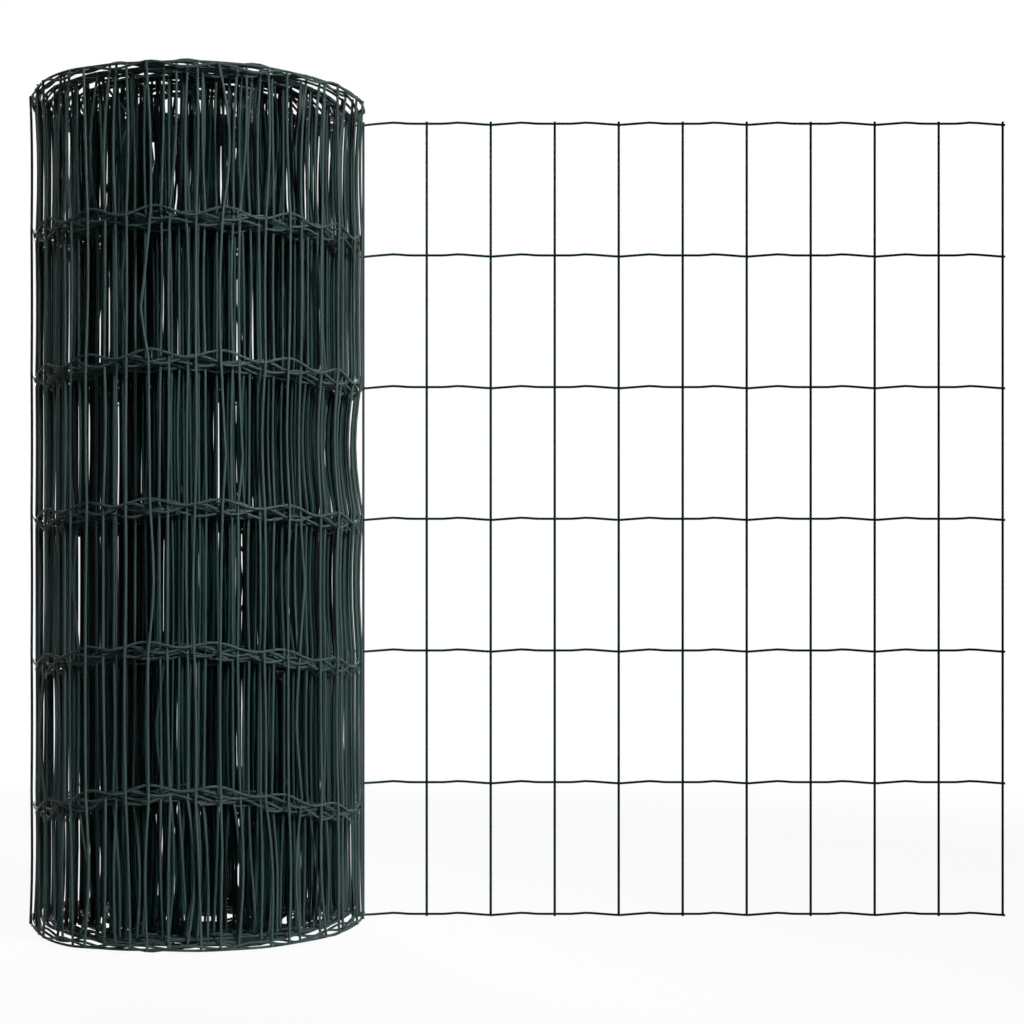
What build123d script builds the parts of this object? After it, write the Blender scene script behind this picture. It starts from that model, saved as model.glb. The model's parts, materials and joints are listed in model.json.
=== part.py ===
"""Roll of green coated wire fencing, stood on end, with its free end unrolled flat.

The fencing is one long sheet of welded mesh: straight upright pickets welded to crimped line wires.
Most of the sheet is wound into a round roll with an open core.  The last stretch peels off the back of
the roll, bends straight and stands as a flat run beside it.

Millimetres.  The origin is on the roll's axis at the floor, +Z is up along the axis, +X runs along
the flat run and +Y points away from the side that the roll is seen from.
"""

from build123d import *

import math
import os

# Welded mesh
row_pitch = 100.0
row_count = 7
picket_pitch = 48.64
picket_diameter = 1.9
line_diameter = 1.8
weld_set_down = 0.4
picket_overhang = 1.2
line_overhang = 1.5

# Crimps of the line wires, which repeat every two pickets
crimp_rise = 0.9
crimp_dip = 0.95

# Wound roll: its turns have slid up unevenly, a few at a time, apart from the outermost and innermost ones
roll_diameter = 243.0
core_diameter = 60.0
turn_count = 49
level_turn_count = 2
slid_turn_count = 4
turn_unevenness = 3.0

# Free end: whole cells on from a picket that stands in the bend, a little way round from the flat run
free_cell_count = 10
free_setback = 65.0
peel_radius = 60.0
peel_steps = 5
bend_picket_distance = 15.2

# Each wire is a prism of few sides, with the section area of the round wire
wire_sides = 6
equal_area_share = math.sqrt(2 * math.pi / (wire_sides * math.sin(2 * math.pi / wire_sides)))

# Places of the crimp's corners, in pickets from a dipped picket, and the height at each
crimp_place_shares = (0.0, 0.5, 0.72, 1.28, 1.5)
crimp_heights = (-crimp_dip, crimp_rise, 0.0, 0.0, crimp_rise)
crimp_repeat_share = 2.0

# How far each ring of turns has slid up, which repeats over the rings
turn_lift_shares = (1.0, 0.35, 0.8, 0.15, 0.6)

# Sizes that follow from those above
mesh_height = (row_count - 1) * row_pitch + line_diameter + 2 * picket_overhang
row_levels = [picket_overhang + line_diameter / 2 + row * row_pitch for row in range(row_count)]
roll_radius = roll_diameter / 2
core_radius = core_diameter / 2
turn_pitch = (roll_radius - core_radius) / turn_count

# The weld plane lies between the line wires and the pickets, which are outside them on the roll
weld_radius = roll_radius - picket_diameter + weld_set_down / 2
picket_offset = (picket_diameter - weld_set_down) / 2
line_offset = (line_diameter - weld_set_down) / 2

# The sheet leaves the roll along its tangent and bends back, about a centre behind the flat run
bend_distance = weld_radius + peel_radius
bend_centre_y = free_setback + peel_radius
peel_angle = math.acos(bend_centre_y / bend_distance)
bend_centre_x = bend_distance * math.sin(peel_angle)
bend_length = peel_radius * peel_angle
flat_length = free_cell_count * picket_pitch - bend_picket_distance
free_reach = bend_centre_x + flat_length


def end_outline(level):
    """Points of one end of the roll, from the core out: rings of turns that slid up, between level rings."""
    ring_turns = range(level_turn_count, turn_count - level_turn_count, slid_turn_count)
    shares = [turn_lift_shares[ring % len(turn_lift_shares)] for ring in range(len(ring_turns))]
    lifts = [0] + [share * turn_unevenness for share in shares] + [0]
    radii = [core_radius] + [core_radius + turn * turn_pitch for turn in ring_turns]
    radii += [roll_radius - level_turn_count * turn_pitch, roll_radius]
    points = []
    for inner, outer, lift in zip(radii, radii[1:], lifts):
        points += [(inner, 0, level + lift), (outer, 0, level + lift)]
    return points


def wound_roll():
    """The wound turns as one turned solid with its core left open."""
    bottom = end_outline(0)
    top = end_outline(mesh_height)
    return revolve(make_face(Polyline(*bottom, *reversed(top), close=True)), Axis.Z)


def sheet_point(distance, offset):
    """Plan position on the sheet, at a distance from the last picket and an offset from the weld plane."""
    if distance <= flat_length:
        return free_reach - distance, free_setback + offset
    turned = (distance - flat_length) / peel_radius
    radius = peel_radius - offset
    return bend_centre_x - radius * math.sin(turned), bend_centre_y - radius * math.cos(turned)


def crimp_corners(reach):
    """Distances from the last picket of the crimp's corners, and the wire's rise or dip at each."""
    corners = []
    repeat = 0
    while repeat * crimp_repeat_share * picket_pitch < reach:
        for share, height in zip(crimp_place_shares, crimp_heights):
            corners.append(((repeat * crimp_repeat_share + share) * picket_pitch, height))
        repeat += 1
    return corners


def crimp_height(distance, corners):
    """Rise or dip of a line wire at any distance, on the straight between two corners."""
    for (start, low), (end, high) in zip(corners, corners[1:]):
        if start <= distance <= end:
            return low + (high - low) * (distance - start) / (end - start)
    return corners[0][1]


def line_wire(level):
    """One crimped line wire, from past the last picket, along the flat run and back into the roll."""
    corners = crimp_corners(flat_length + bend_length)
    distances = [-line_overhang]
    distances += [place for place, height in corners if line_diameter < place < flat_length - line_diameter]
    distances += [flat_length + bend_length * step / peel_steps for step in range(peel_steps + 1)]
    points = []
    for distance in distances:
        x, y = sheet_point(distance, -line_offset)
        points.append(Vector(x, y, level + crimp_height(distance, corners)))
    start = Plane(origin=points[0], x_dir=Vector(0, 1, 0), z_dir=points[1] - points[0])
    section = RegularPolygon(line_diameter / 2 * equal_area_share, wire_sides, rotation=180 / wire_sides)
    return sweep(start * section, path=Polyline(*points), transition=Transition.RIGHT)


def picket(distance):
    """One straight upright picket, behind the line wires of the flat run."""
    x, y = sheet_point(distance, picket_offset)
    section = RegularPolygon(picket_diameter / 2 * equal_area_share, wire_sides)
    return Pos(x, y, 0) * extrude(section, mesh_height)


def roll_side():
    """Plane that touches the roll where the middle of the line wires comes out of it."""
    wire_radius = peel_radius + line_offset
    reach_squares = bend_distance**2 + wire_radius**2 - roll_radius**2
    turned = peel_angle - math.acos(reach_squares / (2 * bend_distance * wire_radius))
    x = bend_centre_x - wire_radius * math.sin(turned)
    y = bend_centre_y - wire_radius * math.cos(turned)
    outwards = Vector(x, y, 0).normalized()
    return Plane(origin=outwards * roll_radius, z_dir=outwards)


def unrolled_mesh():
    """The unrolled mesh, its wires fused at every weld and cut off where they meet the roll."""
    line_wires = [line_wire(level) for level in row_levels]
    pickets = [picket(place * picket_pitch) for place in range(free_cell_count + 1)]
    return split(pickets[0].fuse(*pickets[1:], *line_wires), bisect_by=roll_side(), keep=Keep.TOP)


def main():
    os.makedirs("parts", exist_ok=True)
    mesh = unrolled_mesh()
    flat_start = Plane(origin=(bend_centre_x, 0, 0), z_dir=(1, 0, 0))
    export_step(wound_roll(), "parts/wound_roll.step")
    export_step(split(mesh, bisect_by=flat_start, keep=Keep.BOTTOM), "parts/peel_bend.step")
    export_step(split(mesh, bisect_by=flat_start, keep=Keep.TOP), "parts/free_end.step")


main()
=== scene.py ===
"""Roll of green coated wire fencing, stood on end, with its free end unrolled flat.

The whole sheet is one welded mesh: straight pickets and crimped line wires that run from the free end,
round a bend, and on in a spiral to the roll's open core.  Metres, in the frame of the packed part.
"""

import json
import math

import bmesh
import bpy
import numpy as np
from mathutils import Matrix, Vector


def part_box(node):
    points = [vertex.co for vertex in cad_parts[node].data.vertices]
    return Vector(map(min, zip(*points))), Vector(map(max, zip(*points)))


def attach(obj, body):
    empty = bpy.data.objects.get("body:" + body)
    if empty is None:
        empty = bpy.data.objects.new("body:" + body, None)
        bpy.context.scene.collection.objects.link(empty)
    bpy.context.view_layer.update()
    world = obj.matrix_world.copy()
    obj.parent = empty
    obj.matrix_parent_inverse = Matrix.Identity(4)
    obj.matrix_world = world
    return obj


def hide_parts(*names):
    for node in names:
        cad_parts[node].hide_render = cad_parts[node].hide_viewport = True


bl_info = {
    "name": "Wire fencing roll",
    "version": (1, 0, 0),
    "blender": (4, 5, 0),
    "location": "View3D > Sidebar > Fencing",
    "description": "Builds a roll of coated welded wire fencing with its free end unrolled",
    "category": "Add Mesh",
}

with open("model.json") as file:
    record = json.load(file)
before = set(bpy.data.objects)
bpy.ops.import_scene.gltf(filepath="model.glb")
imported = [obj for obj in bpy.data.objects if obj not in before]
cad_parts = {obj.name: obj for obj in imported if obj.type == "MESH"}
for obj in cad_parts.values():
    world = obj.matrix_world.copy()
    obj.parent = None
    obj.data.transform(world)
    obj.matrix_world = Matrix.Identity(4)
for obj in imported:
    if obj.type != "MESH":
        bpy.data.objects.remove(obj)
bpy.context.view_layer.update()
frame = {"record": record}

MM = 0.001
TURN = 2 * math.pi
BODY = "root"
NODES = ("wound_roll", "peel_bend", "free_end")
ROLL_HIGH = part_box("wound_roll")[1]
CORE = next(mount for mount in frame["record"]["mounts"] if mount["name"] == "core_bore")
SHARP_ANGLE = math.radians(70)


def linear(hex_colour):
    """Linear RGB of an sRGB hex colour."""
    shares = [int(hex_colour[i:i + 2], 16) / 255 for i in (1, 3, 5)]
    return [s / 12.92 if s <= 0.04045 else ((s + 0.055) / 1.055) ** 2.4 for s in shares]


def length(name, description, millimetres):
    """A length that the user can change, given in millimetres."""
    return bpy.props.FloatProperty(
        name=name, description=description, default=millimetres * MM, unit="LENGTH", precision=5
    )


def count(name, description, default):
    """A whole number that the user can change."""
    return bpy.props.IntProperty(name=name, description=description, default=default)


def pixels(name, description, default):
    """A distance in the picture that the user can change."""
    return bpy.props.FloatProperty(name=name, description=description, default=default, subtype="PIXEL")


def colour(name, description, hex_colour):
    """A colour that the user can change, given as sRGB hex."""
    return bpy.props.FloatVectorProperty(
        name=name, description=description, default=linear(hex_colour), subtype="COLOR", min=0, max=1
    )


class FENCE_PG_mesh(bpy.types.PropertyGroup):
    """Sizes of the welded mesh"""

    row_count: count("Rows", "Line wires, from bottom to top", 7)
    row_pitch: length("Row pitch", "Between two line wires", 100)
    picket_pitch: length("Picket pitch", "Between two pickets along the sheet", 48.64)
    picket_diameter: length("Picket wire", "Diameter of the pickets over their coating", 1.9)
    line_diameter: length("Line wire", "Diameter of the line wires over their coating", 1.8)
    weld_set_down: length("Set-down", "How far two wires sink into each other at a weld", 0.4)
    overhang: length("Overhang", "How far a picket stands past the outer line wires", 1.2)
    line_overhang: length("Line overhang", "How far a line wire stands past the last picket", 1.5)
    crimp_rise: length("Crimp rise", "Rise of the flat run's crimps above the row", 0.9)
    crimp_dip: length("Crimp dip", "Dip of the flat run's crimps below the row", 0.95)
    roll_crimp: length("Roll crimp", "Depth of the rounded crimps in the roll", 5.2)
    rim_crimp: length("Rim crimp", "Depth of the crimps in the roll's outer rows", 2.6)
    bead_diameter: length("Weld bead", "Diameter of the lump of coating at each weld", 2.1)


class FENCE_PG_winding(bpy.types.PropertyGroup):
    """How the sheet is wound, and how it leaves the roll"""

    roll_radius: length("Roll radius", "Outside of the roll", ROLL_HIGH.x / MM)
    core_radius: length("Core radius", "Open core of the roll", CORE["dims"]["r_mm"])
    turns: count("Turns", "Turns in the roll", 49)
    free_cells: count("Free cells", "Cells in the free end", 10)
    setback: length("Setback", "How far the flat run stands behind the roll's axis", 65)
    peel_radius: length("Peel radius", "Radius of the bend that straightens the free end", 60)
    bend_picket: length("Bend picket", "From the flat run to the picket in the bend", 15.2)
    unevenness: length("Unevenness", "How far turns have slid up", 2.9)
    roundness: length("Roundness", "How far the turns are out of round", 0.8)
    slip: length("Slip", "How far the rows have slipped along the turns at the rims", 7.0)
    bow: length("Bow", "How far pickets bow along the turn between rows", 0.7)
    waist: length("Waist", "How far the turns are drawn in between rows, beside the free end", 4.8)
    row_drift: length("Row drift", "How far the inner rows wander up and down from turn to turn", 4.5)
    row_sag: length("Row sag", "How far the inner rows have sunk below the outermost turn", 8.0)
    row_arch: length("Row arch", "How far lower rows rise at front and back, and dip at the sides", 11.0)
    kink: length("Kink", "How far the odd bent picket is pushed aside", 7.0)
    flare: length("Flare", "How far the rims stand out past the rows between them", 0.9)
    rim_bulge: length("Rim bulge", "How far the outer line wires bulge out between pickets", 1.4)
    rim_corner: length("Rim corner", "How far the rims are drawn in at the two sides of the roll", 6.0)
    rim_draw: length("Rim draw", "How far rims of inner turns are drawn in from the roll's ends", 6.5)
    rim_wander: length("Rim wander", "How far each rim wanders up and down along its turn", 2.0)
    seed: count("Seed", "Start of the random draws", 12)


class FENCE_PG_coating(bpy.types.PropertyGroup):
    """Colours of the wire's coating"""

    coat: colour("Coat", "Green of the coating", "#2F3E3D")
    worn: colour("Worn coat", "Greyer green where the coating is rubbed", "#3A4847")
    # Painted shade: a darker green that stands in for the shade in the inner turns of the roll and on the
    # free end
    painted_shade: colour("Painted shade coat", "Deeper green of the inner turns and the free end", "#08201F")


class FENCE_PG_stage(bpy.types.PropertyGroup):
    """Place of the camera"""

    distance: length("Distance", "From the camera to the roll's axis", 1519)
    sideways: length("Sideways", "From the roll's axis to the camera's line of sight", 227.5)
    height: length("Height", "Of the camera above the floor", 226)
    horizon: pixels("Horizon", "Row of the picture at eye level", 619.0)
    focal_pixels: pixels("Focal length", "Of the camera, in pixels of the picture", 2085.0)


def smooth_step(share):
    """Eases from 0 to 1 between 0 and 1."""
    share = np.clip(share, 0, 1)
    return share * share * (3 - 2 * share)


def waves(distance, reaches, phases):
    """A sine wave along the sheet for each reach, in metres to the radian, and phase."""
    return [np.sin(distance / reach + phase) for reach, phase in zip(reaches, phases)]


class Sheet:
    """Course of the sheet, by distance from its last picket: flat run, bend, then turns into the core."""

    # Share of a turn after which the sheet steps in, and of a cell by which each turn's pickets lag behind
    JOG_SHARE = 0.84
    LAG_SHARE = 0.373
    STEPS_PER_TURN = 360

    # Length of sheet over which the roll's unevenness sets in, and the angle for its roundness
    RAMP = 0.35
    ROUND_RAMP = 1.0
    ROUND_WAVES = (2, 3, 5, 7)

    # Reach of the waves in which turns slide up, and the outermost turns that stay level
    LIFT_WAVES = (0.17, 0.31, 0.83)
    LEVEL_TURNS = 2

    # Slipped rows: how much of the slip the middle row has, and how fast it grows to the rims
    SLIP_WAVES = (0.27, 0.61, 1.43)
    MIDDLE_SLIP_SHARE = 0.15
    SLIP_POWER = 4

    # Rows of the inner turns: turns over which they come to wander and sink, and which rows arch
    DRIFT_WAVES = (0.19, 0.53, 1.17)
    DRIFT_TURNS = 5
    SAG_TURNS = 3
    ARCH_SHARES = (0, 1.0, 0.7, 0.35, 0.35, 0, 0)

    # Waist: side of the roll that it is on, and how much of it each span between rows has
    WAIST_BEARING = math.radians(95)
    WAIST_POWER = 2
    WAIST_SHARES = (0.05, 0.05, 0.45, 1.0, 0.05, 0.25)
    WAIST_SPREAD = 0.05

    # Crimps: corners of the flat run's, cells over which they turn to the roll's, and how those vary
    CRIMP_PLACES = (0.0, 0.5, 0.72, 1.28, 1.5, 2.0)
    CRIMP_REPEAT = 2
    CRIMP_CELLS = 4
    CRIMP_WAVES = (0.083, 0.37)
    CRIMP_SHIFT = 0.05
    CRIMP_SPREAD = 0.2
    RIM_SPREAD = 0.8

    # Rims: turns that are drawn in together, how they wander, and how their two corners are drawn in
    RIM_GROUP = 12
    RIM_START = 8
    RIM_WAVES = (0.021, 0.057, 0.41)
    LOWER_DRAW_SHARE = 0.85
    CORNER_POWER = 8
    CORNER_TURNS = 3
    OUTER_CORNER_SHARE = 0.9

    def __init__(self, mesh, winding):
        self.mesh = mesh
        self.winding = winding
        draws = np.random.default_rng(winding.seed)
        self.weld_radius = winding.roll_radius - mesh.picket_diameter + mesh.weld_set_down / 2
        bend_distance = self.weld_radius + winding.peel_radius
        self.centre_y = winding.setback + winding.peel_radius
        self.peel_angle = math.acos(self.centre_y / bend_distance)
        self.centre_x = bend_distance * math.sin(self.peel_angle)
        self.flat_length = winding.free_cells * mesh.picket_pitch - winding.bend_picket
        self.roll_start = self.flat_length + winding.peel_radius * self.peel_angle
        self.depth = self.weld_radius - winding.core_radius - mesh.line_diameter - winding.roundness
        self.round_phases = draws.uniform(0, TURN, len(self.ROUND_WAVES))
        self.lift_phases = draws.uniform(0, TURN, len(self.LIFT_WAVES))
        self.slip_phases = draws.uniform(0, TURN, (mesh.row_count, len(self.SLIP_WAVES)))
        self.drift_phases = draws.uniform(0, TURN, (mesh.row_count, len(self.DRIFT_WAVES)))
        turns = winding.turns - 1 + self.JOG_SHARE
        self.angles = np.linspace(0, turns * TURN, int(turns * self.STEPS_PER_TURN))
        radii = self.radius(self.angles)
        mean = (radii[1:] + radii[:-1]) / 2
        steps = np.hypot(np.diff(radii), mean * np.diff(self.angles))
        self.lengths = np.concatenate([[0], np.cumsum(steps)])
        self.end = self.roll_start + self.lengths[-1]
        turn_ends = np.interp(np.arange(winding.turns) * TURN, self.angles, self.lengths)
        turn_cells = np.round(np.diff(turn_ends) / mesh.picket_pitch - self.LAG_SHARE) + self.LAG_SHARE
        last_cells = (self.lengths[-1] - turn_ends[-1]) / mesh.picket_pitch
        start = self.roll_start / mesh.picket_pitch
        self.cell_distances = np.concatenate([[0], self.roll_start + turn_ends, [self.end]])
        self.cell_counts = np.cumsum([0, start, *turn_cells, last_cells])
        places = np.arange(self.cell_counts[-1])
        self.picket_distances = np.interp(places, self.cell_counts, self.cell_distances)

    def cell(self, distance):
        """Pickets passed on the way from the last one."""
        return np.interp(distance, self.cell_distances, self.cell_counts)

    def radius(self, angle):
        """Radius of the weld plane at an angle wound back from where the sheet leaves the roll."""
        turn = np.floor(angle / TURN)
        jog = smooth_step((angle / TURN - turn - self.JOG_SHARE) / (1 - self.JOG_SHARE))
        bearing = self.peel_angle - angle
        swings = [np.cos(n * bearing + p) for n, p in zip(self.ROUND_WAVES, self.round_phases)]
        out_of_round = self.winding.roundness * (np.mean(swings, axis=0) - 1) / 2
        inward = self.depth * (turn + jog) / self.winding.turns
        return self.weld_radius - inward + out_of_round * smooth_step(angle / self.ROUND_RAMP)

    def plan(self, distance, offset):
        """Plan positions at distances along the sheet, offset outwards from the weld plane."""
        winding = self.winding
        turned = np.clip((distance - self.flat_length) / winding.peel_radius, 0, self.peel_angle)
        bend_radius = winding.peel_radius - offset
        x = self.centre_x - bend_radius * np.sin(turned) + np.maximum(self.flat_length - distance, 0)
        y = self.centre_y - bend_radius * np.cos(turned)
        angle = self.angle(distance)
        bearing = self.peel_angle - angle
        radius = self.radius(angle) + offset
        wound = distance > self.roll_start
        return np.where(wound, radius * np.sin(bearing), x), np.where(wound, radius * np.cos(bearing), y)

    def angle(self, distance):
        """Angle wound back from where the sheet leaves the roll."""
        return np.interp(distance - self.roll_start, self.lengths, self.angles)

    def turn(self, distance):
        """Turns wound back from where the sheet leaves the roll."""
        return self.angle(distance) / TURN

    def wound_share(self, distance):
        """0 in the free end, rising to 1 a little way into the roll."""
        return smooth_step((distance - self.roll_start) / self.RAMP)

    def lift(self, distance):
        """How far a turn has slid up."""
        swing = np.mean(waves(distance, self.LIFT_WAVES, self.lift_phases), axis=0)
        share = smooth_step(self.turn(distance) / self.LEVEL_TURNS - 1)
        return self.winding.unevenness * (1 + swing) / 2 * share

    def slip(self, row, distance):
        """How far a row has slipped along its turn, most at the rims."""
        rim = abs(2 * row / (self.mesh.row_count - 1) - 1)
        share = self.MIDDLE_SLIP_SHARE + (1 - self.MIDDLE_SLIP_SHARE) * rim**self.SLIP_POWER
        swing = np.mean(waves(distance, self.SLIP_WAVES, self.slip_phases[row]), axis=0)
        return self.winding.slip * share * swing * self.wound_share(distance)

    def waist(self, span, distance):
        """How far a turn is drawn in halfway between two rows, most on the side of the free end."""
        bearing = self.peel_angle - self.angle(distance)
        pulled = np.maximum(np.cos(bearing - self.WAIST_BEARING), 0) ** self.WAIST_POWER
        share = self.WAIST_SPREAD + self.WAIST_SHARES[span] * pulled
        return self.winding.waist * share * self.wound_share(distance)

    def drift(self, row, distance):
        """How far an inner row has wandered up or down and sunk, more in the deeper turns."""
        turn = self.turn(distance)
        swing = np.mean(waves(distance, self.DRIFT_WAVES, self.drift_phases[row]), axis=0)
        wandered = self.winding.row_drift * swing * smooth_step(turn / self.DRIFT_TURNS)
        return wandered - self.winding.row_sag * smooth_step(turn / self.SAG_TURNS)

    def arch(self, row, distance):
        """How far a row rises at the front and back of the roll, or dips at its sides."""
        bearing = self.peel_angle - self.angle(distance)
        rise = self.winding.row_arch * self.ARCH_SHARES[row]
        return rise * np.cos(2 * bearing) * self.wound_share(distance)

    def rim_draw(self, row, distance):
        """How far a rim is drawn in from the end of the roll, least in the last turn of each group."""
        turn = self.turn(distance)
        fine, long, shift = waves(distance, self.RIM_WAVES, self.lift_phases)
        share = 1 - np.mod(turn + self.RIM_START + shift, self.RIM_GROUP) / self.RIM_GROUP
        drawn = self.winding.rim_draw * share * (self.LOWER_DRAW_SHARE if row == 0 else 1)
        wandered = self.winding.rim_wander * (2 + fine + long) / 4
        side = np.sin(self.peel_angle - self.angle(distance)) ** self.CORNER_POWER
        outer = self.OUTER_CORNER_SHARE if row == 0 else 0
        side = side * (outer + (1 - outer) * smooth_step((turn - 1) / self.CORNER_TURNS))
        return (drawn + wandered + self.winding.rim_corner * side) * self.wound_share(distance)

    def draw_in(self, distance):
        """How far the rows between the rims stand in from the rims, most in the outermost turns."""
        share = 1 - self.angle(distance) / self.angles[-1]
        return self.winding.flare * share * self.wound_share(distance)

    def row_level(self, row):
        """Height of a row above the floor, before anything moved it."""
        return self.mesh.overhang + self.mesh.line_diameter / 2 + row * self.mesh.row_pitch

    def crimp(self, row, distance):
        """Height of a line wire about its row: shallow corners in the flat run, round waves in the roll."""
        mesh = self.mesh
        cell = self.cell(distance)
        heights = (-mesh.crimp_dip, mesh.crimp_rise, 0, 0, mesh.crimp_rise, -mesh.crimp_dip)
        flat = np.interp(np.mod(cell, self.CRIMP_REPEAT), self.CRIMP_PLACES, heights)
        shift, spread = waves(distance, self.CRIMP_WAVES, (row, row))
        wave = np.cos(TURN * (cell + self.CRIMP_SHIFT * shift))
        if row in (0, mesh.row_count - 1):
            end = -1 if row == 0 else 1
            drop = mesh.rim_crimp * (1 - wave) / 2 * (1 + self.RIM_SPREAD * spread)
            deep = end * (mesh.overhang - self.rim_draw(row, distance) - drop)
        else:
            deep = mesh.roll_crimp / 2 * wave * (1 + self.CRIMP_SPREAD * spread)
            deep += self.drift(row, distance) + self.arch(row, distance)
        share = smooth_step((distance - self.flat_length) / (self.CRIMP_CELLS * mesh.picket_pitch))
        return flat * (1 - share) + deep * share

    def line_level(self, row, distance):
        """Height of a line wire above the floor."""
        return self.row_level(row) + self.lift(distance) + self.crimp(row, distance)

    def line_course(self, row, distance):
        """Points of a line wire at distances along the sheet."""
        mesh = self.mesh
        offset = -(mesh.line_diameter - mesh.weld_set_down) / 2
        if row in (0, mesh.row_count - 1):
            wave = (1 - np.cos(TURN * self.cell(distance))) / 2
            offset = offset + self.winding.rim_bulge * wave * self.wound_share(distance)
        else:
            offset = offset - self.draw_in(distance)
        x, y = self.plan(distance + self.slip(row, distance), offset)
        return np.stack([x, y, self.line_level(row, distance)], axis=1)


def ring_offsets(tangents, reference, radius, sides):
    """Points of a ring round each point of each path."""
    across = reference - tangents * np.sum(tangents * reference, axis=-1, keepdims=True)
    across /= np.linalg.norm(across, axis=-1, keepdims=True)
    along = np.cross(tangents, across)
    angles = np.arange(sides) * TURN / sides
    cosines = np.cos(angles)[:, None]
    sines = np.sin(angles)[:, None]
    return radius * (across[..., None, :] * cosines + along[..., None, :] * sines)


def wires(paths, reference, radius, sides):
    """Vertices and faces of round wires along paths of equal length, an array of wires by points by 3."""
    tangents = np.gradient(paths, axis=1)
    tangents /= np.linalg.norm(tangents, axis=-1, keepdims=True)
    rings = paths[:, :, None, :] + ring_offsets(tangents, np.asarray(reference, float), radius, sides)
    wire_count, points = paths.shape[:2]
    index = np.arange(wire_count * points * sides).reshape(wire_count, points, sides)
    after = np.roll(index, -1, axis=2)
    quads = np.stack([index[:, :-1], after[:, :-1], after[:, 1:], index[:, 1:]], axis=-1).reshape(-1, 4)
    caps = np.concatenate([index[:, 0, ::-1], index[:, -1]])
    return rings.reshape(-1, 3), quads.tolist() + caps.tolist()


def add_piece(name, vertices, faces, material):
    """A smooth mesh piece of the sheet, riding on the part's one body."""
    mesh = bpy.data.meshes.new(name)
    mesh.from_pydata(vertices.tolist(), [], faces)
    mesh.shade_smooth()
    mesh.set_sharp_from_angle(angle=SHARP_ANGLE)
    mesh.materials.append(material)
    piece = bpy.data.objects.new(name, mesh)
    bpy.context.scene.collection.objects.link(piece)
    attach(piece, BODY)
    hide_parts(*NODES)


def add_node(tree, kind, settings=None, inputs=None):
    """Adds a node, with its settings and with values or links for its inputs."""
    node = tree.nodes.new(kind)
    for name, value in (settings or {}).items():
        setattr(node, name, value)
    for name, value in (inputs or {}).items():
        if isinstance(value, bpy.types.NodeSocket):
            tree.links.new(value, node.inputs[name])
        else:
            node.inputs[name].default_value = value
    return node


# Coating: size of the rubbed patches, and the share of the noise over which the rubbing sets in
PATCH_SIZE = 60 * MM
PATCH_DETAIL = 3.0
RUBBED_SHARES = (0.45, 0.75)

# Radii between which the coating turns from a darker painted shade to its own colours, and from there back
# to painted shade beside the roll, in the free end
INNER_SHADE_RADII = (88 * MM, 120 * MM)
BESIDE_SHADE_RADII = (123 * MM, 150 * MM)

# Grain of the drawn coating, which is coarser than the real one so that it shows
GRAIN_SIZE = 1.5 * MM
GRAIN_DETAIL = 2.0
GRAIN_HEIGHT = 0.1 * MM
GRAIN_STRENGTH = 0.12
ROUGHNESS_RANGE = (0.25, 0.36)
PVC_IOR = 1.53
PVC_SPECULAR = 0.03


def pvc_coated_wire(coating):
    """Soft PVC drawn over galvanised wire."""
    # A dark green satin skin, a little uneven, greyer where the outer turns are rubbed, and darkened by
    # painted shade in the inner turns and the free end
    material = bpy.data.materials.get("pvc_coated_wire")
    if material:
        return material
    material = bpy.data.materials.new("pvc_coated_wire")
    material.use_nodes = True
    tree = material.node_tree
    tree.nodes.clear()
    place = add_node(tree, "ShaderNodeTexCoord").outputs["Object"]
    patches = add_node(tree, "ShaderNodeTexNoise", None, {
        "Vector": place, "Scale": 1 / PATCH_SIZE, "Detail": PATCH_DETAIL})
    rubbed = add_node(tree, "ShaderNodeMapRange", None, {
        "Value": patches.outputs["Fac"], "From Min": RUBBED_SHARES[0], "From Max": RUBBED_SHARES[1]})
    tint = add_node(tree, "ShaderNodeMix", {"data_type": "RGBA"}, {
        "Factor": rubbed.outputs["Result"], "A": (*coating.coat, 1), "B": (*coating.worn, 1)})
    across = add_node(tree, "ShaderNodeVectorMath", {"operation": "MULTIPLY"}, {0: place, 1: (1, 1, 0)})
    radius = add_node(tree, "ShaderNodeVectorMath", {"operation": "LENGTH"}, {0: across.outputs["Vector"]})
    # Painted shade: the darker green covers the inner turns and the free end, and the coat colours show only
    # in the outer turns
    outer = add_node(tree, "ShaderNodeMapRange", {"interpolation_type": "SMOOTHSTEP"}, {
        "Value": radius.outputs["Value"], "From Min": INNER_SHADE_RADII[0], "From Max": INNER_SHADE_RADII[1]})
    beside = add_node(tree, "ShaderNodeMapRange", {"interpolation_type": "SMOOTHSTEP"}, {
        "Value": radius.outputs["Value"], "From Min": BESIDE_SHADE_RADII[0], "From Max": BESIDE_SHADE_RADII[1],
        "To Min": 1.0, "To Max": 0.0})
    unshaded_share = add_node(tree, "ShaderNodeMath", {"operation": "MULTIPLY"}, {
        0: outer.outputs["Result"], 1: beside.outputs["Result"]})
    skin = add_node(tree, "ShaderNodeMix", {"data_type": "RGBA"}, {
        "Factor": unshaded_share.outputs[0], "A": (*coating.painted_shade, 1), "B": tint.outputs["Result"]})
    grain = add_node(tree, "ShaderNodeTexNoise", None, {
        "Vector": place, "Scale": 1 / GRAIN_SIZE, "Detail": GRAIN_DETAIL})
    rough = add_node(tree, "ShaderNodeMapRange", None, {
        "Value": grain.outputs["Fac"], "To Min": ROUGHNESS_RANGE[0], "To Max": ROUGHNESS_RANGE[1]})
    bump = add_node(tree, "ShaderNodeBump", None, {
        "Height": grain.outputs["Fac"], "Strength": GRAIN_STRENGTH, "Distance": GRAIN_HEIGHT})
    shader = add_node(tree, "ShaderNodeBsdfPrincipled", None, {
        "Base Color": skin.outputs["Result"], "Roughness": rough.outputs["Result"],
        "Normal": bump.outputs["Normal"], "IOR": PVC_IOR, "Specular IOR Level": PVC_SPECULAR})
    add_node(tree, "ShaderNodeOutputMaterial", None, {"Surface": shader.outputs["BSDF"]})
    return material


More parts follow.
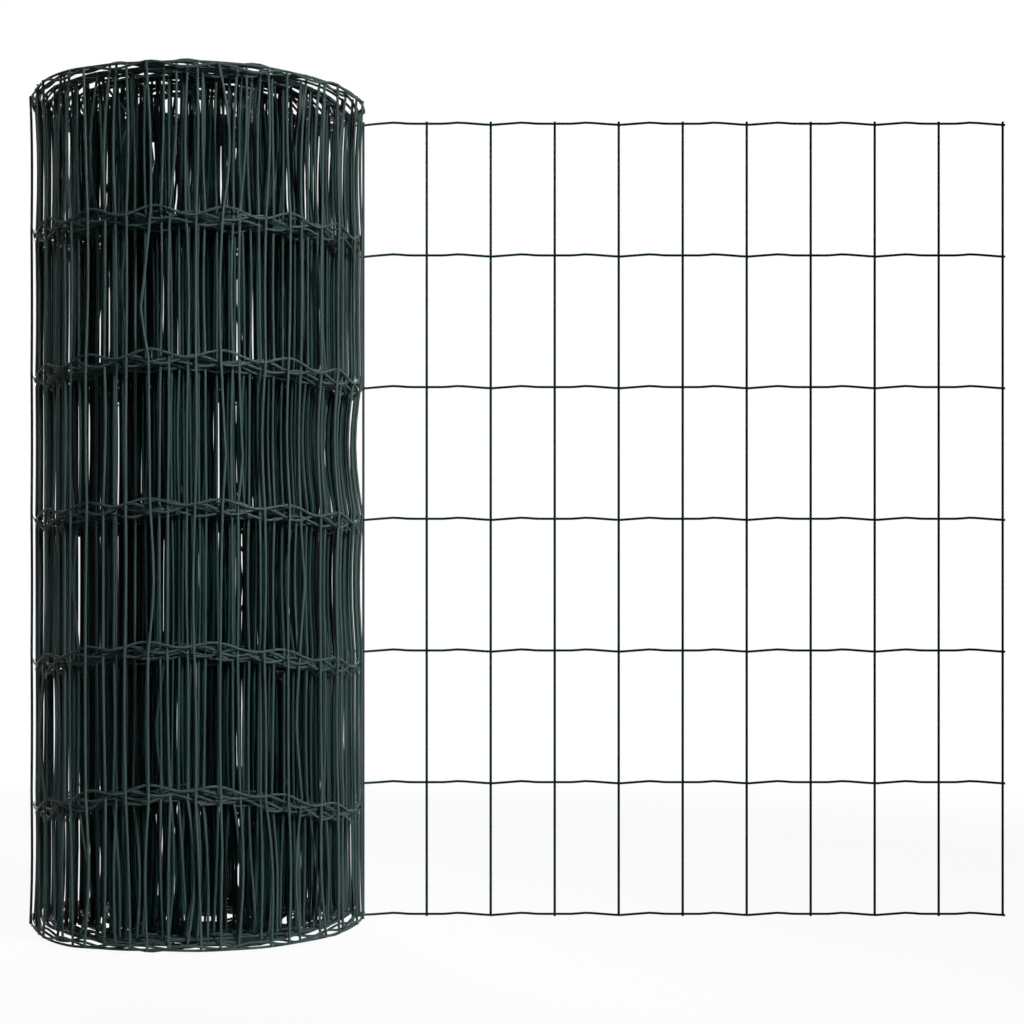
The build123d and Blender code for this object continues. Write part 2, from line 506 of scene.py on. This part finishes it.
class FENCE_OT_pickets(bpy.types.Operator):
    """Upright pickets of the roll and of its free end"""

    bl_idname = "fence.pickets"
    bl_label = "Pickets"

    SIDES = 8
    SPAN_POINTS = 6

    # How far pickets stop short of the mesh's ends, in the free end and in the roll
    END_TRIM = 0.25 * MM
    RIM_TRIM = 0.8 * MM

    # How much more pickets bow beside the rims, and how fast the rims flare
    RIM_BOW_SHARE = 3.2
    FLARE_POWER = 4

    # Share of the spans that have a kink, and where between two rows it can be
    KINKED_SHARE = 0.08
    KINK_PLACES = (0.3, 0.7)

    def execute(self, context):
        scene = context.scene
        mesh, winding = scene.fence_mesh, scene.fence_winding
        sheet = Sheet(mesh, winding)
        paths = self.paths(sheet, np.random.default_rng(winding.seed + 1))
        free = np.count_nonzero(sheet.picket_distances < sheet.roll_start)
        halfway = (free + len(paths)) // 2
        groups = {
            "free_end_pickets": paths[:free],
            "outer_pickets": paths[free:halfway],
            "inner_pickets": paths[halfway:],
        }
        for name, group in groups.items():
            vertices, faces = wires(group, (1, 0, 0), mesh.picket_diameter / 2, self.SIDES)
            add_piece(name, vertices, faces, pvc_coated_wire(scene.fence_coating))
        return {"FINISHED"}

    def paths(self, sheet, draws):
        """Courses of all pickets from bottom to top, leaning, bowed and here and there kinked."""
        mesh, winding = sheet.mesh, sheet.winding
        distances = sheet.picket_distances
        wound = sheet.wound_share(distances)
        rows = mesh.row_count
        shape = (len(distances), rows - 1)
        rim = np.isin(np.arange(rows - 1), (0, rows - 2))
        bows = draws.normal(0, winding.bow, shape) * np.where(rim, self.RIM_BOW_SHARE, 1) * wound[:, None]
        kinked = draws.random(shape) < self.KINKED_SHARE
        kinks = draws.normal(0, winding.kink, shape) * kinked * wound[:, None]
        kink_places = draws.uniform(*self.KINK_PLACES, shape)
        slips = np.stack([sheet.slip(row, distances) for row in range(rows)], axis=1)
        offset = (mesh.picket_diameter - mesh.weld_set_down) / 2
        draw_in = sheet.draw_in(distances)
        levels = self.levels(sheet, distances, wound)
        steps = np.linspace(0, 1, self.SPAN_POINTS + 1)
        points = []
        for span in range(rows - 1):
            waist = sheet.waist(span, distances)
            for share in steps if span == rows - 2 else steps[:-1]:
                bulge = math.sin(math.pi * share)
                flared = (1 - share) ** self.FLARE_POWER if span == 0 else 0
                flared += share ** self.FLARE_POWER if span == rows - 2 else 0
                inward = waist * bulge + draw_in * (1 - flared)
                place = kink_places[:, span]
                kink = kinks[:, span] * np.minimum(share / place, (1 - share) / (1 - place))
                run = distances + slips[:, span] * (1 - share) + slips[:, span + 1] * share
                x, y = sheet.plan(run + bows[:, span] * bulge + kink, offset - inward)
                level = levels[span] * (1 - share) + levels[span + 1] * share
                points.append(np.stack([x, y, level], axis=1))
        return np.stack(points, axis=1)

    def levels(self, sheet, distances, wound):
        """Heights of each picket's lower end, middle rows and upper end."""
        last = sheet.mesh.row_count - 1
        reach = sheet.mesh.line_diameter / 2
        lift = sheet.lift(distances)
        trim = np.where(wound > 0, self.RIM_TRIM, self.END_TRIM)
        bottom = np.where(wound > 0, sheet.line_level(0, distances) - reach, 0)
        flat_top = sheet.row_level(last) + sheet.row_level(0)
        top = np.where(wound > 0, sheet.line_level(last, distances) + reach, flat_top)
        middle = [sheet.row_level(row) + lift for row in range(1, last)]
        return [bottom + trim, *middle, top - trim]


class FENCE_OT_line_wires(bpy.types.Operator):
    """Crimped line wires that run the whole length of the sheet"""

    bl_idname = "fence.line_wires"
    bl_label = "Line wires"

    SIDES = 8
    CELL_POINTS = 9

    def execute(self, context):
        scene = context.scene
        mesh, winding = scene.fence_mesh, scene.fence_winding
        sheet = Sheet(mesh, winding)
        cells = (sheet.end + mesh.line_overhang) / mesh.picket_pitch
        distances = np.linspace(-mesh.line_overhang, sheet.end, int(cells * self.CELL_POINTS))
        for row in range(mesh.row_count):
            paths = sheet.line_course(row, distances)[None]
            vertices, faces = wires(paths, (0, 0, 1), mesh.line_diameter / 2, self.SIDES)
            add_piece(f"line_wire_{row + 1}", vertices, faces, pvc_coated_wire(scene.fence_coating))
        return {"FINISHED"}


class FENCE_OT_weld_beads(bpy.types.Operator):
    """Small lumps of coating at the welds"""

    bl_idname = "fence.weld_beads"
    bl_label = "Weld beads"

    def execute(self, context):
        scene = context.scene
        mesh, winding = scene.fence_mesh, scene.fence_winding
        sheet = Sheet(mesh, winding)
        ball, ball_faces = self.ball()
        rows = [sheet.line_course(row, sheet.picket_distances) for row in range(mesh.row_count)]
        places = np.concatenate(rows)
        vertices = (places[:, None] + ball * mesh.bead_diameter / 2).reshape(-1, 3)
        faces = ball_faces + np.arange(len(places))[:, None, None] * len(ball)
        faces = faces.reshape(-1, 3).tolist()
        add_piece("weld_beads", vertices, faces, pvc_coated_wire(scene.fence_coating))
        return {"FINISHED"}

    def ball(self):
        """Vertices and triangles of a small round ball of radius 1."""
        form = bmesh.new()
        bmesh.ops.create_icosphere(form, subdivisions=1, radius=1)
        vertices = np.array([vertex.co for vertex in form.verts])
        faces = np.array([[vertex.index for vertex in face.verts] for face in form.faces])
        form.free()
        return vertices, faces


class FENCE_OT_stage(bpy.types.Operator):
    """Floor, light and camera"""

    bl_idname = "fence.stage"
    bl_label = "Stage"

    IMAGE_SIZE = 1024
    SENSOR_WIDTH = 36.0

    # Floor: its size, how far out its shadow fades, and how much of it glows as the backdrop does
    FLOOR_SIZE = 30.0
    FLOOR_COLOUR = "#EDEDED"
    BACKDROP_COLOUR = "#FFFFFF"
    SHADOW_REACH = 1.6
    GLOW_SHARE = 0.94

    # Strength at which the backdrop lights the object
    AMBIENT = 0.02

    # Name, place, size in metres, power in watts and spread of each lamp
    LAMPS = (
        ("key_strip", (1.9, -2.0, 1.3), (0.35, 0.9), 3.1, math.radians(18)),
        ("fill_softbox", (-1.8, -2.0, 0.8), (0.9, 0.9), 0.6, math.pi),
        ("back_softbox", (-0.7, 2.4, 1.2), (0.9, 0.9), 3.0, math.radians(30)),
        ("top_softbox", (0.3, -0.2, 2.6), (2.4, 2.4), 5.0, math.pi),
    )

    def execute(self, context):
        scene = context.scene
        self.floor(scene)
        self.world(scene)
        for name, place, size, power, spread in self.LAMPS:
            self.lamp(scene, name, place, size, power, spread)
        self.camera(scene, scene.fence_stage)
        scene.view_settings.view_transform = "Standard"
        return {"FINISHED"}

    def camera(self, scene, stage):
        """Level camera in front of the roll, its picture shifted so that the horizon lies low."""
        camera = bpy.data.cameras.new("camera")
        camera.sensor_width = self.SENSOR_WIDTH
        camera.lens = stage.focal_pixels / self.IMAGE_SIZE * self.SENSOR_WIDTH
        camera.shift_y = (stage.horizon - self.IMAGE_SIZE / 2) / self.IMAGE_SIZE
        holder = bpy.data.objects.new("camera", camera)
        holder.location = (stage.sideways, -stage.distance, stage.height)
        holder.rotation_euler = (math.pi / 2, 0, 0)
        scene.collection.objects.link(holder)
        scene.camera = holder

    def floor(self, scene):
        """White floor that keeps the shadow round the roll and turns to the backdrop's white further out."""
        mesh = bpy.data.meshes.new("floor")
        half = self.FLOOR_SIZE / 2
        corners = [(-half, -half, 0), (half, -half, 0), (half, half, 0), (-half, half, 0)]
        mesh.from_pydata(corners, [], [(0, 1, 2, 3)])
        mesh.materials.append(self.matt_white_paint())
        floor = bpy.data.objects.new("floor", mesh)
        scene.collection.objects.link(floor)

    def matt_white_paint(self):
        """Rolled-on matt wall paint."""
        # White without a shine, which holds a soft shadow
        material = bpy.data.materials.new("matt_white_floor")
        material.use_nodes = True
        tree = material.node_tree
        tree.nodes.clear()
        matt = add_node(tree, "ShaderNodeBsdfDiffuse", None, {"Color": (*linear(self.FLOOR_COLOUR), 1)})
        glow = add_node(tree, "ShaderNodeEmission", None, {
            "Color": (*linear(self.BACKDROP_COLOUR), 1), "Strength": 1.0})
        place = add_node(tree, "ShaderNodeTexCoord").outputs["Object"]
        reach = add_node(tree, "ShaderNodeVectorMath", {"operation": "LENGTH"}, {0: place})
        near = add_node(tree, "ShaderNodeMapRange", {"interpolation_type": "SMOOTHSTEP"}, {
            "Value": reach.outputs["Value"],
            "From Min": self.SHADOW_REACH / 2, "From Max": self.SHADOW_REACH,
            "To Min": self.GLOW_SHARE, "To Max": 1.0})
        share = add_node(tree, "ShaderNodeMath", {"operation": "MULTIPLY"}, {
            0: self.seen(tree), 1: near.outputs["Result"]})
        mix = add_node(tree, "ShaderNodeMixShader", None, {
            "Fac": share.outputs[0], 1: matt.outputs[0], 2: glow.outputs[0]})
        add_node(tree, "ShaderNodeOutputMaterial", None, {"Surface": mix.outputs[0]})
        return material

    def seen(self, tree):
        """1 for rays that show the background: straight, mirrored or through glass."""
        path = add_node(tree, "ShaderNodeLightPath")
        first = add_node(tree, "ShaderNodeMath", {"operation": "MAXIMUM"}, {
            0: path.outputs["Is Camera Ray"], 1: path.outputs["Is Glossy Ray"]})
        both = add_node(tree, "ShaderNodeMath", {"operation": "MAXIMUM"}, {
            0: first.outputs[0], 1: path.outputs["Is Transmission Ray"]})
        return both.outputs[0]

    def world(self, scene):
        """Backdrop that is white where it is seen and lights the object only faintly."""
        world = bpy.data.worlds.new("studio")
        world.use_nodes = True
        tree = world.node_tree
        tree.nodes.clear()
        strength = add_node(tree, "ShaderNodeMapRange", None, {
            "Value": self.seen(tree), "To Min": self.AMBIENT, "To Max": 1.0})
        light = add_node(tree, "ShaderNodeBackground", None, {
            "Color": (*linear(self.BACKDROP_COLOUR), 1), "Strength": strength.outputs["Result"]})
        add_node(tree, "ShaderNodeOutputWorld", None, {"Surface": light.outputs[0]})
        scene.world = world

    def lamp(self, scene, name, place, size, power, spread):
        """Soft lamp turned to the middle of the roll, which a narrow spread keeps to the roll."""
        light = bpy.data.lights.new(name, "AREA")
        light.shape = "RECTANGLE"
        light.size, light.size_y = size
        light.energy = power
        light.spread = spread
        lamp = bpy.data.objects.new(name, light)
        lamp.location = place
        aim = Vector((0, 0, ROLL_HIGH.z / 2)) - Vector(place)
        lamp.rotation_euler = aim.to_track_quat("-Z", "Y").to_euler()
        scene.collection.objects.link(lamp)


class FENCE_PT_panel(bpy.types.Panel):
    """Lists the pieces of the roll with their sizes and colours"""

    bl_idname = "FENCE_PT_panel"
    bl_label = "Wire fencing roll"
    bl_space_type = "VIEW_3D"
    bl_region_type = "UI"
    bl_category = "Fencing"

    def draw(self, context):
        for operator in OPERATORS:
            self.layout.operator(operator.bl_idname)
        for name, group in GROUPS.items():
            self.layout.label(text=group.__doc__)
            for setting in group.__annotations__:
                self.layout.prop(getattr(context.scene, name), setting)


GROUPS = {
    "fence_mesh": FENCE_PG_mesh,
    "fence_winding": FENCE_PG_winding,
    "fence_coating": FENCE_PG_coating,
    "fence_stage": FENCE_PG_stage,
}
OPERATORS = (FENCE_OT_pickets, FENCE_OT_line_wires, FENCE_OT_weld_beads, FENCE_OT_stage)


def register():
    for group in GROUPS.values():
        bpy.utils.register_class(group)
    for name, group in GROUPS.items():
        setattr(bpy.types.Scene, name, bpy.props.PointerProperty(type=group))
    for operator in OPERATORS:
        bpy.utils.register_class(operator)
    bpy.utils.register_class(FENCE_PT_panel)


def unregister():
    bpy.utils.unregister_class(FENCE_PT_panel)
    for operator in reversed(OPERATORS):
        bpy.utils.unregister_class(operator)
    for name, group in GROUPS.items():
        delattr(bpy.types.Scene, name)
        bpy.utils.unregister_class(group)


def main():
    register()
    bpy.ops.fence.pickets()
    bpy.ops.fence.line_wires()
    bpy.ops.fence.weld_beads()
    bpy.ops.fence.stage()


if __name__ == "__main__":
    main()
